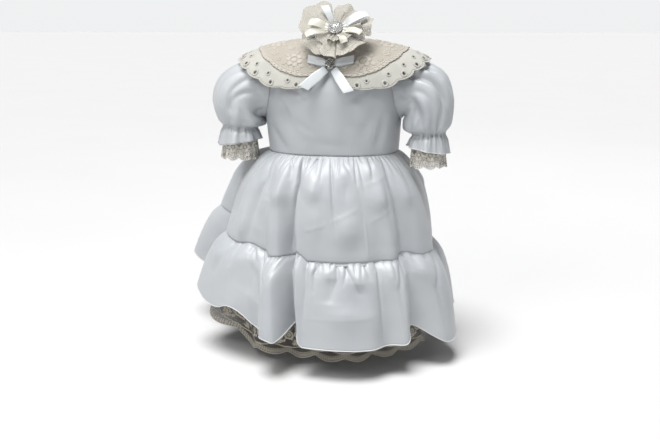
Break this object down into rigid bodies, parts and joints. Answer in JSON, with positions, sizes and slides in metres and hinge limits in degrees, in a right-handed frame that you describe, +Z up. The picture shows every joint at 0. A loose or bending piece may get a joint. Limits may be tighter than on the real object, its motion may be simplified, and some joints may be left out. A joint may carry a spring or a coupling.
{
  "type": "christening gown",
  "caption": "Baby's satin christening gown, hollow and filled out: puff sleeves, tiered gathered skirt, double lace collar, ribbon bow, lace rosette and lace edged underskirt.",
  "frame": {"origin": "midway between the shoulders, level with the neck seam at the sides", "axes": "+Z up, the front faces -Y, the wearer's left is +X"},
  "size_m": [0.4476, 0.3475, 0.5091],
  "materials": {
    "satin": "heavy duchesse satin, soft sheen",
    "eyelet": "cotton eyelet with stitched holes",
    "guipure": "raised guipure lace",
    "net_lace": "embroidered net lace",
    "ribbon": "double faced satin ribbon",
    "felt": "felt",
    "button": "pearly cast resin",
    "rhinestones": "faceted stones in a metal cup",
    "clear_jewel": "faceted clear stones in a metal cup"
  },
  "bodies": {
    "root": {"back_button_1": "button", "back_button_2": "button", "back_button_3": "button", "back_placket": "satin", "bodice_back_left": "satin", "bodice_back_right": "satin", "bodice_front": "satin", "bow_loop_left": "ribbon", "bow_loop_right": "ribbon", "bow_tail_left": "ribbon", "bow_tail_right": "ribbon", "brooch": "rhinestones", "collar_eyelet_left": "eyelet", "collar_eyelet_right": "eyelet", "collar_guipure_left": "guipure", "collar_guipure_right": "guipure", "cuff_lace_left": "net_lace", "cuff_lace_right": "net_lace", "neck_band": "satin", "rosette_backing": "felt", "rosette_jewel": "clear_jewel", "rosette_petal_1": "guipure", "rosette_petal_2": "guipure", "rosette_petal_3": "guipure", "rosette_petal_4": "guipure", "rosette_petal_5": "guipure", "rosette_petal_6": "guipure", "rosette_ribbon_1": "ribbon", "rosette_ribbon_2": "ribbon", "rosette_ribbon_3": "ribbon", "rosette_ribbon_4": "ribbon", "rosette_ribbon_5": "ribbon", "rosette_ribbon_6": "ribbon", "skirt_lower_back": "satin", "skirt_lower_front": "satin", "skirt_upper_back": "satin", "skirt_upper_front": "satin", "sleeve_left": "satin", "sleeve_right": "satin", "underskirt_back": "satin", "underskirt_front": "satin", "underskirt_lace_back": "net_lace", "underskirt_lace_front": "net_lace"}
  },
  "joints": []
}
